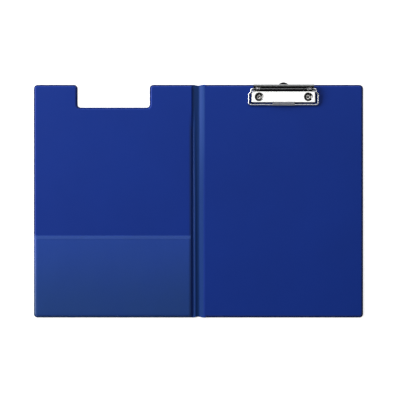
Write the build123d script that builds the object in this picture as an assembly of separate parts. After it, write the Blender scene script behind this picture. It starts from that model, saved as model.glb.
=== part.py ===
# A4 clipboard folder, lying open with its inner faces up
#
# X runs from the cover on the left to the back board on the right, with x = 0 in the middle of the
# spine. Y runs up the boards to the clip, with y = 0 at half height. Z is up, with z = 0 on the table.
# All lengths are in millimetres.

import os
from math import atan2, cos, degrees, hypot, pi, radians, sin, sqrt, tan

from build123d import *

os.makedirs("parts", exist_ok=True)

# Folder sizes
PANEL_HEIGHT = 318.0
PANEL_WIDTH = 218.5
SPINE_WIDTH = 13.0
BOARD_THICKNESS = 2.0
SKIN_THICKNESS = 0.35
CORNER_RADIUS = 5.0
WELD_MARGIN = 1.5
EDGE_SLOPE = 1.2
FOLD_MARGIN = 1.2
FOLD_SLOPE = 1.8
WEB_THICKNESS = 0.5
SKIN_DRAW = 0.1

# Notch in the cover, which the clip comes through when the folder is shut
CLIP_CENTRE = 116.0
NOTCH_SIDE_PLAY = 1.0
NOTCH_FRONT_PLAY = 2.6
NOTCH_INNER_RADIUS = 4.0

# Spine crease
CREASE_OFFSET = 1.2
CREASE_RISE = 0.7
SPINE_END_DIP = 1.0

# Clear pocket
POCKET_HEIGHT = 112.0
FILM_THICKNESS = 0.2
FILM_GAP = 0.3
HEM_WIDTH = 5.0
HEM_THICKNESS = 0.2

# Clip base, a bent sheet. Setback is a distance below the top edge of the board, and rise is a height
# above the inner skin.
SHEET = 0.9
BASE_SETBACK = 0.1
RAIL_RADIUS = 1.6
RAIL_RISE = 4.7
ROD_SETBACK = 6.2
ROD_RISE = 3.8
PLATE_SETBACK = 9.6
PLATE_LENGTH = 15.2
PLATE_RISE_REAR = 5.3
PLATE_RISE_FRONT = 4.1
PLATE_HALF = 42.6
TROUGH_STEP = 1.4
SIDE_FLARE = 2.4
CORNER_RELIEF = 2.4
BEND_RADIUS = 1.0
EAR_RADIUS = 1.9

# Wire bail, which goes round the ears and the plate with these gaps
WIRE_RADIUS = 1.0
ROD_CLEARANCE = 0.05
EAR_GAP = 2.1
PLATE_SIDE_GAP = 1.3
PLATE_FRONT_GAP = 1.6
BAIL_LIFT = 0.3
JOGGLE_START = 4.4
JOGGLE_LENGTH = 2.6
ROD_BEND_RADIUS = 2.0
BAIL_CORNER_RADIUS = 2.4
WIRE_END_GAP = 0.3
WIRE_SIDES = 10

# Finger grip
GRIP_WIDTH = 30.0
GRIP_SHEET = 0.5
GRIP_CLEARANCE = 0.03
GRIP_TONGUE = 4.7
GRIP_ANGLE = 42.0
GRIP_RIBS = 9
GRIP_RIB_RADIUS = 0.35
RIB_SIDES = 6

# Torsion springs
SPRING_WIRE = 0.8
SPRING_SIDES = 6
SPRING_RADIUS = 2.1
SPRING_INSET = 9.0
SPRING_PITCH = 1.4
SPRING_TURNS = 4
SPRING_EXIT = 77.0
SPRING_LEG = 4.2
SPRING_BEND = 0.9
SPRING_HOOK = 0.8
SPRING_CLEARANCE = 0.15

# Rivets and their dished seats
RIVET_INSET = 9.1
DISH_RADIUS = 6.0
DISH_WALL = 1.04
SEAT_RADIUS = 4.0
SHANK_RADIUS = 2.0
SHANK_CLEARANCE = 0.1
RIVET_HEAD_RADIUS = 3.5
RIVET_HEAD_HEIGHT = 1.1
RIVET_BORE_RADIUS = 1.1
RIVET_BORE_DEPTH = 3.4
ROLL_STEPS = 3
BACK_HEAD_RADIUS = 4.5
BACK_HEAD_HEIGHT = 0.6
HEAD_CLEARANCE = 0.1

# Pull-out hanger
HANGER_SHEET = 0.8
HANGER_WIDTH = 18.0
HANGER_OVERHANG = 3.1
HANGER_HOLE_RADIUS = 3.0
HANGER_HOLE_INSET = 7.0
HANGER_SHOULDER = 26.0
HANGER_SHOULDER_LENGTH = 3.2
HANGER_TRAVEL = 9.5
HANGER_PLAY = 0.1
HANGER_SIDE_PLAY = 0.3

# Heights and places that follow from the sizes
FOLD_X = SPINE_WIDTH / 2
TOP_Y = PANEL_HEIGHT / 2
BOARD_FLOOR = SKIN_THICKNESS
BOARD_TOP = BOARD_FLOOR + BOARD_THICKNESS
DECK = BOARD_TOP + SKIN_THICKNESS
WELD_TOP = 2 * SKIN_THICKNESS
OUTER_X = FOLD_X + PANEL_WIDTH
# Weld margin, then the slope up to the board, on the outer edges and on the fold side
BOARD_INSET = WELD_MARGIN + EDGE_SLOPE
BOARD_FOLD_INSET = FOLD_MARGIN + FOLD_SLOPE

TROUGH_HALF = PLATE_HALF - TROUGH_STEP
PLATE_SLOPE = (PLATE_RISE_REAR - PLATE_RISE_FRONT) / PLATE_LENGTH
SEAT_TOP = DECK + SHEET
ROD_Y = TOP_Y - ROD_SETBACK
ROD_Z = DECK + ROD_RISE
LEG_HALF_REAR = TROUGH_HALF + EAR_GAP + WIRE_RADIUS
LEG_HALF_FRONT = PLATE_HALF + SIDE_FLARE + PLATE_SIDE_GAP + WIRE_RADIUS
BAIL_REACH = PLATE_SETBACK + PLATE_LENGTH - ROD_SETBACK + PLATE_FRONT_GAP + WIRE_RADIUS
BAIL_DROP = ROD_RISE - WIRE_RADIUS - BAIL_LIFT
BAIL_TILT = degrees(atan2(BAIL_DROP, BAIL_REACH))
BAIL_LENGTH = hypot(BAIL_REACH, BAIL_DROP)
BAR_Y = ROD_Y - BAIL_REACH
BAR_Z = ROD_Z - BAIL_DROP
SPRING_START = TROUGH_HALF - SPRING_INSET
NOTCH_WIDTH = 2 * (LEG_HALF_FRONT + WIRE_RADIUS + NOTCH_SIDE_PLAY)
NOTCH_DEPTH = ROD_SETBACK + BAIL_REACH + WIRE_RADIUS + NOTCH_FRONT_PLAY

# Rivets stand in the middle of the plate's depth, and their back heads sink into the board
RIVET_Y = TOP_Y - PLATE_SETBACK - PLATE_LENGTH / 2
RIVET_X = [CLIP_CENTRE - PLATE_HALF + RIVET_INSET, CLIP_CENTRE + PLATE_HALF - RIVET_INSET]
HOLE_RADIUS = SHANK_RADIUS + SHANK_CLEARANCE
DIMPLE_DEPTH = BACK_HEAD_HEIGHT
DIMPLE_RADIUS = BACK_HEAD_RADIUS + HEAD_CLEARANCE
CHANNEL_HALF = HANGER_WIDTH / 2 + HANGER_SIDE_PLAY
CHANNEL_RISE = HANGER_SHEET + 2 * HANGER_PLAY

# How far a cutting solid reaches past what it cuts, and how many points a gap is measured on
CUT_REACH = 1.0
CUT_SLIVER = 0.01
GAP_SAMPLES = 600


def save(node, shape):
    """Write one node, as separate solids, to its own file."""
    export_step(Compound(label=node, children=list(shape.solids())), f"parts/{node}.step")


def flat_box(x0, x1, y0, y1, z0, z1):
    """A box between two corners."""
    return Pos((x0 + x1) / 2, (y0 + y1) / 2, (z0 + z1) / 2) * Box(x1 - x0, y1 - y0, z1 - z0)


def turned(points):
    """A solid of revolution about Z from a list of (radius, height) points."""
    return revolve(make_face(Plane.XZ * Polyline(*points, close=True)), Axis.Z)


def turned_at(points, x, y):
    """The same solid, standing at x, y."""
    return Pos(x, y, 0) * turned(points)


# Panel outlines

def panel_outline(z, edge_inset, fold_inset, notched):
    """Face of one panel at height z, drawn in from its outer edges and from its fold line."""
    side = -1 if notched else 1
    near = side * (FOLD_X + fold_inset)
    far = side * (OUTER_X - edge_inset)
    top = TOP_Y - edge_inset
    convex = CORNER_RADIUS - edge_inset
    concave = NOTCH_INNER_RADIUS + edge_inset
    points = [(near, -top, z), (far, -top, z), (far, top, z)]
    radii = [0, convex, convex]
    if notched:
        half = NOTCH_WIDTH / 2 + edge_inset
        floor = TOP_Y - NOTCH_DEPTH - edge_inset
        left = -CLIP_CENTRE - half
        right = -CLIP_CENTRE + half
        points += [(left, top, z), (left, floor, z), (right, floor, z), (right, top, z)]
        radii += [convex, concave, concave, convex]
    points.append((near, top, z))
    radii.append(0)
    return make_face(FilletPolyline(*points, radius=radii, close=True))


def slab(z0, z1, edge_inset, fold_inset, notched):
    """A panel of straight thickness."""
    return extrude(panel_outline(z0, edge_inset, fold_inset, notched), z1 - z0, dir=(0, 0, 1))


def pillow(low, high, notched):
    """A panel whose sides slope in from its foot to its top. Each is (z, edge inset, fold inset)."""
    return loft([panel_outline(*low, notched), panel_outline(*high, notched)], ruled=True)


def board(notched):
    """The greyboard inside a panel."""
    return slab(BOARD_FLOOR, BOARD_TOP, BOARD_INSET + SKIN_DRAW, BOARD_FOLD_INSET + SKIN_DRAW, notched)


def outer_skin(notched):
    """The flat PVC sheet under a panel."""
    return slab(0, SKIN_THICKNESS, 0, FOLD_MARGIN, notched)


def inner_skin(notched):
    """The PVC sheet over a board, welded flat round its edge and drawn up over the board."""
    margin = slab(SKIN_THICKNESS, WELD_TOP, 0, FOLD_MARGIN, notched)
    foot = (WELD_TOP, WELD_MARGIN, FOLD_MARGIN)
    crest = (DECK, BOARD_INSET, BOARD_FOLD_INSET)
    return margin + pillow(foot, crest, notched) - board(notched)


# Clear pocket on the cover

def clear_pocket():
    """Film welded round the cover's margin, standing a little off the inner skin."""
    air = FILM_GAP + FILM_THICKNESS
    shift = FILM_GAP * EDGE_SLOPE / (DECK - WELD_TOP)
    fold_shift = FILM_GAP * FOLD_SLOPE / (DECK - WELD_TOP)
    inside = pillow(
        (WELD_TOP, WELD_MARGIN - shift, FOLD_MARGIN - fold_shift),
        (DECK + FILM_GAP, BOARD_INSET, BOARD_FOLD_INSET),
        True,
    )
    outside = pillow(
        (WELD_TOP, WELD_MARGIN - shift - FILM_THICKNESS, FOLD_MARGIN - fold_shift - FILM_THICKNESS),
        (DECK + air, BOARD_INSET - FILM_THICKNESS / 2, BOARD_FOLD_INSET - FILM_THICKNESS / 2),
        True,
    )
    flange = slab(WELD_TOP, WELD_TOP + FILM_THICKNESS, SKIN_THICKNESS, FOLD_MARGIN / 2, True)
    mouth = POCKET_HEIGHT - TOP_Y
    hem = flat_box(
        -OUTER_X + BOARD_INSET, -FOLD_X - BOARD_FOLD_INSET,
        mouth - HEM_WIDTH, mouth,
        DECK + air, DECK + air + HEM_THICKNESS,
    )
    above = flat_box(-OUTER_X - CUT_REACH, 0, mouth, TOP_Y + CUT_REACH, 0, DECK + air + CUT_REACH)
    return outside + flange + hem - inside - above


# Spine and its two weld lines

def spine_strip(section):
    """A strip of spine with this (x, z) section, its ends drawn in a little between the boards."""
    strip = extrude(make_face(Plane.XZ * Polyline(*section, close=True)), PANEL_HEIGHT / 2, both=True)
    half = FOLD_X - FOLD_MARGIN
    end_radius = (half ** 2 + SPINE_END_DIP ** 2) / (2 * SPINE_END_DIP)
    for end in (-1, 1):
        centre_y = end * (TOP_Y - SPINE_END_DIP + end_radius)
        strip -= Pos(0, centre_y, DECK / 2) * Cylinder(end_radius, 2 * DECK)
    return strip


def spine_outer_skin():
    half = FOLD_X - FOLD_MARGIN
    return spine_strip([(-half, 0), (half, 0), (half, SKIN_THICKNESS), (-half, SKIN_THICKNESS)])


def spine_inner_skin():
    """The inner sheet stands off the outer one at its edges and is creased down between them."""
    half = FOLD_X - FOLD_MARGIN
    crest = half - CREASE_RISE
    low = SKIN_THICKNESS
    high = low + CREASE_RISE
    wall = SKIN_THICKNESS
    top = [(-half, low), (-half, low + wall), (-crest, high + wall), (CREASE_OFFSET, low + wall)]
    top += [(crest, high + wall), (half, low + wall), (half, low)]
    under = [(crest + wall / 2, low), (crest, high), (CREASE_OFFSET + wall, low)]
    under += [(CREASE_OFFSET - wall, low), (-crest, high), (-crest - wall / 2, low)]
    return spine_strip(top + under)


def fold_web(side):
    """The thin pressed line that the folder bends along."""
    centre = side * FOLD_X
    return flat_box(centre - FOLD_MARGIN, centre + FOLD_MARGIN, -TOP_Y, TOP_Y, 0, WEB_THICKNESS)


# Rivet seats through the back's layers

def back_outer_skin():
    """The outer sheet, pressed up into the board under each rivet's back head."""
    skin = outer_skin(False)
    rim = DIMPLE_RADIUS + SKIN_THICKNESS
    lid = DIMPLE_DEPTH + SKIN_THICKNESS
    cup = [(0, 0), (rim, 0), (rim, lid), (0, lid)]
    room = [(0, -CUT_REACH), (DIMPLE_RADIUS, -CUT_REACH)]
    room += [(DIMPLE_RADIUS, DIMPLE_DEPTH), (0, DIMPLE_DEPTH)]
    for x in RIVET_X:
        skin += turned_at(cup, x, RIVET_Y)
        skin -= turned_at(room, x, RIVET_Y)
        skin -= Pos(x, RIVET_Y, DECK / 2) * Cylinder(HOLE_RADIUS, 2 * DECK)
    return skin


def back_board():
    """The back's greyboard, crushed round the dimples and punched for the shanks."""
    solid = board(False)
    rim = DIMPLE_RADIUS + SKIN_THICKNESS
    lid = DIMPLE_DEPTH + SKIN_THICKNESS
    for x in RIVET_X:
        solid -= Pos(x, RIVET_Y, lid / 2) * Cylinder(rim, lid)
        solid -= Pos(x, RIVET_Y, DECK / 2) * Cylinder(HOLE_RADIUS, 2 * DECK)
    return solid


def back_inner_skin():
    skin = inner_skin(False)
    for x in RIVET_X:
        skin -= Pos(x, RIVET_Y, DECK / 2) * Cylinder(HOLE_RADIUS, 2 * DECK)
    return skin


def rivet(x):
    """Tubular rivet: domed back head, shank, and a front end rolled over in the dish."""
    head_top = SEAT_TOP + RIVET_HEAD_HEIGHT
    bore_floor = head_top - RIVET_BORE_DEPTH
    roll = (RIVET_HEAD_RADIUS - RIVET_BORE_RADIUS) / 2
    crest = RIVET_BORE_RADIUS + roll
    outline = [
        (0, 0), (BACK_HEAD_RADIUS - BACK_HEAD_HEIGHT, 0), (BACK_HEAD_RADIUS, BACK_HEAD_HEIGHT),
        (SHANK_RADIUS, BACK_HEAD_HEIGHT), (SHANK_RADIUS, SEAT_TOP),
    ]
    for k in range(ROLL_STEPS + 1):
        angle = pi * k / ROLL_STEPS
        outline.append((crest + roll * cos(angle), SEAT_TOP + RIVET_HEAD_HEIGHT * sin(angle)))
    outline += [(RIVET_BORE_RADIUS, bore_floor), (0, bore_floor)]
    return turned_at(outline, x, RIVET_Y)


# Clip base

def plate_rise(setback):
    """Height of the sloping plate's top above the inner skin."""
    return PLATE_RISE_REAR - PLATE_SLOPE * (setback - PLATE_SETBACK)


def clip_slab(profile, half):
    """A solid across the clip from a closed profile of (setback, rise) points."""
    face = make_face(Plane.YZ * Polyline(*[(TOP_Y - s, DECK + r) for s, r in profile], close=True))
    return Pos(CLIP_CENTRE, 0, 0) * extrude(face, half, both=True)


def pan(inset):
    """The raised plate as a solid with flared sides, drawn in by inset all over."""
    rear = PLATE_SETBACK + inset
    front = PLATE_SETBACK + PLATE_LENGTH - inset
    foot = -CUT_SLIVER if inset else 0
    wedge = clip_slab(
        [(rear, foot), (rear, plate_rise(rear) - inset), (front, plate_rise(front) - inset), (front, foot)],
        PLATE_HALF + SIDE_FLARE,
    )
    wide = PLATE_HALF + SIDE_FLARE - inset
    narrow = PLATE_HALF - inset
    points = [(-wide, DECK + foot), (wide, DECK + foot)]
    points += [(narrow, DECK + PLATE_RISE_REAR), (-narrow, DECK + PLATE_RISE_REAR)]
    sides = extrude(make_face(Plane.XZ * Polyline(*points, close=True)), TOP_Y, both=True)
    return wedge & Pos(CLIP_CENTRE, 0, 0) * sides


def rolled_rail():
    """Rear wall and trough floor as one bent sheet, with the wall's top rolled over forwards."""
    middle = RAIL_RADIUS - SHEET / 2
    wall_s = BASE_SETBACK + SHEET / 2
    floor_r = SHEET / 2
    bend = BEND_RADIUS - SHEET / 2

    def at(setback, rise):
        return (TOP_Y - setback, DECK + rise)

    with BuildPart() as body:
        with BuildSketch(Plane.YZ):
            with BuildLine():
                FilletPolyline(
                    at(PLATE_SETBACK + SHEET / 2, floor_r), at(wall_s, floor_r), at(wall_s, RAIL_RISE),
                    radius=bend,
                )
                CenterArc(at(wall_s + middle, RAIL_RISE), middle, 0, 180)
            trace(line_width=SHEET)
        extrude(amount=TROUGH_HALF, both=True)
    return Pos(CLIP_CENTRE, 0, 0) * body.part


def ear(side):
    """Upright lug at the trough's end, drilled for the rod."""
    outer = side * TROUGH_HALF
    inner = side * (TROUGH_HALF - SHEET)
    x0, x1 = sorted((CLIP_CENTRE + outer, CLIP_CENTRE + inner))
    foot = flat_box(x0, x1, ROD_Y - EAR_RADIUS, ROD_Y + EAR_RADIUS, DECK + SHEET / 2, ROD_Z)
    boss = Pos((x0 + x1) / 2, ROD_Y, ROD_Z) * Rot(0, 90, 0) * Cylinder(EAR_RADIUS, SHEET)
    return foot + boss


def rivet_dish(x):
    """The sunk cup that a rivet clamps to the board, and the room inside it, at x."""
    rim = DECK + PLATE_RISE_REAR - PLATE_SLOPE * PLATE_LENGTH / 2
    top = rim + CUT_REACH
    lip = DISH_RADIUS + (DISH_RADIUS - SEAT_RADIUS) * CUT_REACH / (rim - SEAT_TOP)
    cup = [(0, DECK), (SEAT_RADIUS + DISH_WALL, DECK), (lip + DISH_WALL, top), (0, top)]
    bowl = [(0, SEAT_TOP), (SEAT_RADIUS, SEAT_TOP), (lip, top), (0, top)]
    hole = Pos(x, RIVET_Y, SEAT_TOP) * Cylinder(HOLE_RADIUS, 4 * SHEET)
    # The cup ends inside the sloping plate's sheet
    return turned_at(cup, x, RIVET_Y) & pan(SHEET / 2), turned_at(bowl, x, RIVET_Y) + hole


def clip_base():
    """Bent sheet base: rail, trough, ears, raised plate with two dishes, and the hanger's channel."""
    pressing = pan(0)
    bends = pressing.edges().filter_by(lambda e: e.center().Z > DECK + SHEET / 2)
    base = rolled_rail() + fillet(bends, BEND_RADIUS) - pan(SHEET)
    relief = PLATE_SETBACK + CORNER_RELIEF
    plate_top = DECK + PLATE_RISE_REAR + CUT_REACH
    for side in (-1, 1):
        base += ear(side)
        x0, x1 = sorted((side * PLATE_HALF, side * (PLATE_HALF + SIDE_FLARE + CUT_REACH)))
        corner = flat_box(x0, x1, TOP_Y - relief, TOP_Y, DECK - CUT_REACH, plate_top)
        base -= Pos(CLIP_CENTRE, 0, 0) * corner
    cover = clip_slab(
        [(BASE_SETBACK, 0), (BASE_SETBACK, CHANNEL_RISE + SHEET),
         (PLATE_SETBACK + SHEET, CHANNEL_RISE + SHEET), (PLATE_SETBACK + SHEET, 0)],
        CHANNEL_HALF + SHEET,
    )
    way = clip_slab(
        [(BASE_SETBACK - CUT_REACH, -CUT_REACH), (BASE_SETBACK - CUT_REACH, CHANNEL_RISE),
         (PLATE_SETBACK + 2 * SHEET, CHANNEL_RISE), (PLATE_SETBACK + 2 * SHEET, -CUT_REACH)],
        CHANNEL_HALF,
    )
    base = base + cover - way
    for x in RIVET_X:
        cup, room = rivet_dish(x)
        base = base + cup - room
    rod_room = Pos(CLIP_CENTRE, ROD_Y, ROD_Z) * Rot(0, 90, 0)
    return base - rod_room * Cylinder(WIRE_RADIUS + ROD_CLEARANCE, 2 * (TROUGH_HALF + CUT_REACH))


# Wire bail, drawn flat about the rod and then tilted down to the board

def on_bail(x, reach):
    """A point of the bail's plane, at rest."""
    tilt = radians(BAIL_TILT)
    return (CLIP_CENTRE + x, ROD_Y - reach * cos(tilt), ROD_Z - reach * sin(tilt))


def wire_bail():
    """One wire, bent round from the front bar to the rod and back, its two ends meeting at the grip."""
    joggle_end = JOGGLE_START + JOGGLE_LENGTH
    left = [
        (-WIRE_END_GAP / 2, BAIL_LENGTH), (-LEG_HALF_FRONT, BAIL_LENGTH), (-LEG_HALF_FRONT, joggle_end),
        (-LEG_HALF_REAR, JOGGLE_START), (-LEG_HALF_REAR, 0),
    ]
    route = left + [(-x, reach) for x, reach in reversed(left)]
    bends = [BAIL_CORNER_RADIUS, ROD_BEND_RADIUS, ROD_BEND_RADIUS, ROD_BEND_RADIUS]
    path = FilletPolyline(*[on_bail(*p) for p in route], radius=bends + bends[::-1])
    start = Plane(origin=path @ 0, z_dir=path % 0)
    return sweep(start * RegularPolygon(WIRE_RADIUS, WIRE_SIDES), path=path)


def finger_grip():
    """Sheet crimped over the front bar, with a ribbed tongue rising back over the plate's lip."""
    inner = WIRE_RADIUS + GRIP_CLEARANCE
    outer = inner + GRIP_SHEET
    half = GRIP_WIDTH / 2
    angle = radians(GRIP_ANGLE)
    ring = Circle(outer) - Circle(inner)
    # The crimp is open below, so that the bar can still reach the paper
    mouth = Pos(0, -outer) * Rectangle(3 * outer, outer)
    # The tongue leaves the top of the crimp and rises towards the rear
    root = Vector(0, inner + GRIP_SHEET / 2)
    tip = root + Vector(cos(angle), sin(angle)) * GRIP_TONGUE
    side = Vector(-sin(angle), cos(angle)) * (GRIP_SHEET / 2)
    tongue = make_face(Polyline(root - side, tip - side, tip + side, root + side, close=True))
    tongue += Pos(tip.X, tip.Y) * Circle(GRIP_SHEET / 2)
    profile = (ring - mouth + tongue) - Circle(inner)
    place = Plane(origin=(CLIP_CENTRE, BAR_Y, BAR_Z), x_dir=(0, 1, 0), z_dir=(1, 0, 0))
    grip = extrude(place * profile, half, both=True)
    # Ribs run up the tongue's face
    pitch = GRIP_WIDTH / (GRIP_RIBS + 1)
    for k in range(GRIP_RIBS):
        x = CLIP_CENTRE - half + pitch * (k + 1)
        low = place.from_local_coords(root + side)
        high = place.from_local_coords(tip + side - Vector(cos(angle), sin(angle)) * GRIP_SHEET)
        start = Vector(x, low.Y, low.Z)
        rib_plane = Plane(origin=start, z_dir=Vector(0, high.Y - low.Y, high.Z - low.Z))
        grip += extrude(rib_plane * RegularPolygon(GRIP_RIB_RADIUS, RIB_SIDES), (high - low).length)
    return grip


# Torsion springs

def biarc(p0, t0, p1, t1):
    """Two arcs that leave p0 along t0 and reach p1 along t1."""
    gap = p1 - p0
    both = t0 + t1
    k = 2 * (1 - t0.dot(t1))
    reach = (-gap.dot(both) + sqrt(gap.dot(both) ** 2 + k * gap.dot(gap))) / k
    middle = (p0 + t0 * reach + p1 - t1 * reach) * 0.5
    first = Edge.make_tangent_arc(p0, t0, middle)
    return [first, Edge.make_tangent_arc(middle, first % 1, p1)]


def coil_point(angle, start_angle, side):
    """Point and direction on a spring's centre line after turning from start_angle to angle."""
    advance = SPRING_PITCH * (angle - start_angle) / (2 * pi)
    place = Vector(
        CLIP_CENTRE + side * (SPRING_START + advance),
        ROD_Y - SPRING_RADIUS * cos(angle),
        ROD_Z + SPRING_RADIUS * sin(angle),
    )
    along = Vector(
        side * SPRING_PITCH / (2 * pi), SPRING_RADIUS * sin(angle), SPRING_RADIUS * cos(angle)
    )
    return place, along.normalized()


def spring_path(side):
    """Centre line: floor leg, coils round the rod, and the arm that hooks over the bail's leg."""
    start = -pi / 2
    end = start + 2 * pi * SPRING_TURNS + radians(SPRING_EXIT)
    halves = 2 * SPRING_TURNS + 1
    angles = [start + k * (end - start) / halves for k in range(halves + 1)]
    stations = [coil_point(a, start, side) for a in angles]
    edges = []
    place, along = stations[0]
    edges.append(Edge.make_line(place - along * SPRING_LEG, place))
    for (p0, t0), (p1, t1) in zip(stations, stations[1:]):
        edges += biarc(p0, t0, p1, t1)
    place, along = stations[-1]
    arm_z = on_bail(0, ROD_Y - place.Y)[2] + WIRE_RADIUS + SPRING_WIRE / 2 + SPRING_CLEARANCE
    corner = place + along * ((arm_z - place.Z) / along.Z)
    tip = Vector(CLIP_CENTRE + side * (LEG_HALF_REAR + SPRING_HOOK), corner.Y, corner.Z)
    outward = (tip - corner).normalized()
    turn = radians(along.get_angle(outward))
    trim = SPRING_BEND * tan(turn / 2)
    before = corner - along * trim
    after = corner + outward * trim
    edges.append(Edge.make_line(place, before))
    edges.append(Edge.make_tangent_arc(before, along, after))
    edges.append(Edge.make_line(after, tip))
    return Wire(edges)


def least_gap(path):
    """Least free space between one turn of a wire and the next, measured on points."""
    points = [path.position_at(k / GAP_SAMPLES) for k in range(GAP_SAMPLES)]
    skip = int(pi * SPRING_RADIUS * GAP_SAMPLES / path.length)
    gaps = [(a - b).length for i, a in enumerate(points) for b in points[i + skip:]]
    return min(gaps) - SPRING_WIRE


def torsion_spring(side):
    path = spring_path(side)
    start = Plane(origin=path @ 0, z_dir=path % 0)
    print(f"spring {side:+d}: wire length {path.length:.1f} mm, least gap {least_gap(path):.2f} mm")
    return sweep(start * RegularPolygon(SPRING_WIRE / 2, SPRING_SIDES), path=path)


# Pull-out hanger

def hanger_tab():
    """Flat tab with a round end and a hole, and shoulders that stop it under the plate."""
    tip = TOP_Y + HANGER_OVERHANG
    half = HANGER_WIDTH / 2
    shoulder_top = TOP_Y - PLATE_SETBACK - SHEET - HANGER_TRAVEL - HANGER_PLAY
    low = DECK + HANGER_PLAY
    blade = Pos(0, (tip - half + shoulder_top) / 2) * Rectangle(HANGER_WIDTH, tip - half - shoulder_top)
    blade += Pos(0, tip - half) * Circle(half)
    foot = Rectangle(HANGER_SHOULDER, HANGER_SHOULDER_LENGTH)
    outline = blade + Pos(0, shoulder_top - HANGER_SHOULDER_LENGTH / 2) * foot
    outline -= Pos(0, tip - HANGER_HOLE_INSET) * Circle(HANGER_HOLE_RADIUS)
    return Pos(CLIP_CENTRE, 0, low) * extrude(outline, HANGER_SHEET)


save("back_outer_skin", back_outer_skin())
save("back_board", back_board())
save("back_inner_skin", back_inner_skin())
save("board_fold_web", fold_web(1))
save("spine_outer_skin", spine_outer_skin())
save("spine_inner_skin", spine_inner_skin())
save("cover_fold_web", fold_web(-1))
save("cover_outer_skin", outer_skin(True))
save("cover_board", board(True))
save("cover_inner_skin", inner_skin(True))
save("clear_pocket", clear_pocket())
save("clip_base", clip_base())
save("rivet_left", rivet(RIVET_X[0]))
save("rivet_right", rivet(RIVET_X[1]))
save("wire_bail", wire_bail())
save("finger_grip", finger_grip())
save("spring_left", torsion_spring(-1))
save("spring_right", torsion_spring(1))
save("hanger_tab", hanger_tab())
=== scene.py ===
# %% Load the measured model
from math import atan2, cos, hypot, pi, radians, sin, tan

import bmesh
import bpy
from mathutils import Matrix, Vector


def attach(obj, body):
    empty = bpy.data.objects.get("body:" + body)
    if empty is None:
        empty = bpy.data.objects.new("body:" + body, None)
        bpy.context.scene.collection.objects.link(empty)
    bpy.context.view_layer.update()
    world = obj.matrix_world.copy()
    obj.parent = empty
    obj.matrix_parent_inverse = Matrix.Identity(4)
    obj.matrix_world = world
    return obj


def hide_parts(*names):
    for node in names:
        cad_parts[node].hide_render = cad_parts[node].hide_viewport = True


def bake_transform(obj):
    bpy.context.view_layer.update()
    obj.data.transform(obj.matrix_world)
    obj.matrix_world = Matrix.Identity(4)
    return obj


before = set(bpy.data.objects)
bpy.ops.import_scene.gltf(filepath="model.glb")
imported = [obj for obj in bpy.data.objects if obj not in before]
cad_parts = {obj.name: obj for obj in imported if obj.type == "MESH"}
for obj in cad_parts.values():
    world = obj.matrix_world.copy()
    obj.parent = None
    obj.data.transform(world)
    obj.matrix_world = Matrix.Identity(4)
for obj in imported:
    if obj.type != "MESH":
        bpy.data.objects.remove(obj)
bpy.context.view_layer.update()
MM = 0.001

# %% [markdown]
# A clipboard folder lies open and is seen from straight above. Its solids come from a measured model, and
# this lesson dresses them: soft PVC sheets, a clear pocket film, plated steel and spring wire. First come
# a few sizes that several pieces share. They are written in millimetres and turned into metres here,
# because Blender's unit is the metre.

# %% Shared sizes
SKIN_EDGE_X = 7.7 * MM
OUTER_X = 225 * MM
TOP_Y = 159 * MM
SKIN = 0.35 * MM
WELD_TOP = 0.7 * MM
DECK = 2.7 * MM
CORNER_RADIUS = 5 * MM
NOTCH_LEFT, NOTCH_RIGHT = -165.3 * MM, -66.7 * MM
NOTCH_FLOOR = 128 * MM
CLIP_X = 116 * MM
ROD = Vector((CLIP_X, 152.8 * MM, 6.5 * MM))
RIVET_Y = 141.8 * MM
RIVETS_X = (82.5 * MM, 149.5 * MM)
print("the deck lies", DECK / MM, "mm above the table")

# %% [markdown]
# Shader maths is easier to read as an expression than as a net of nodes. A Signal wraps one output socket,
# and adding or multiplying two of them puts the Math node in between.

# %% Shader maths
class Signal:
    """An output socket that Python's operators work on."""

    def __init__(self, tree, socket):
        self.tree = tree
        self.socket = socket

    def math(self, operation, first, second):
        node = self.tree.nodes.new("ShaderNodeMath")
        node.operation = operation
        for slot, value in zip(node.inputs, (first, second)):
            if isinstance(value, Signal):
                self.tree.links.new(value.socket, slot)
            else:
                slot.default_value = value
        return Signal(self.tree, node.outputs[0])

    def __add__(self, other):
        return self.math("ADD", self, other)

    def __radd__(self, other):
        return self.math("ADD", other, self)

    def __sub__(self, other):
        return self.math("SUBTRACT", self, other)

    def __rsub__(self, other):
        return self.math("SUBTRACT", other, self)

    def __mul__(self, other):
        return self.math("MULTIPLY", self, other)

    def __rmul__(self, other):
        return self.math("MULTIPLY", other, self)

    def __gt__(self, other):
        return self.math("GREATER_THAN", self, other)


print("expressions on", Signal.__name__, "now add Math nodes")

# %% [markdown]
# A Finish is one material. Its add method makes any other node from its type, its settings and what its
# sockets get. The settings come first, because one such as a data type decides which sockets there are.
# Patterns read Object coordinates, in metres, so that grain keeps its real scale on every piece and doesn't
# slide when a piece moves.

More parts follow.
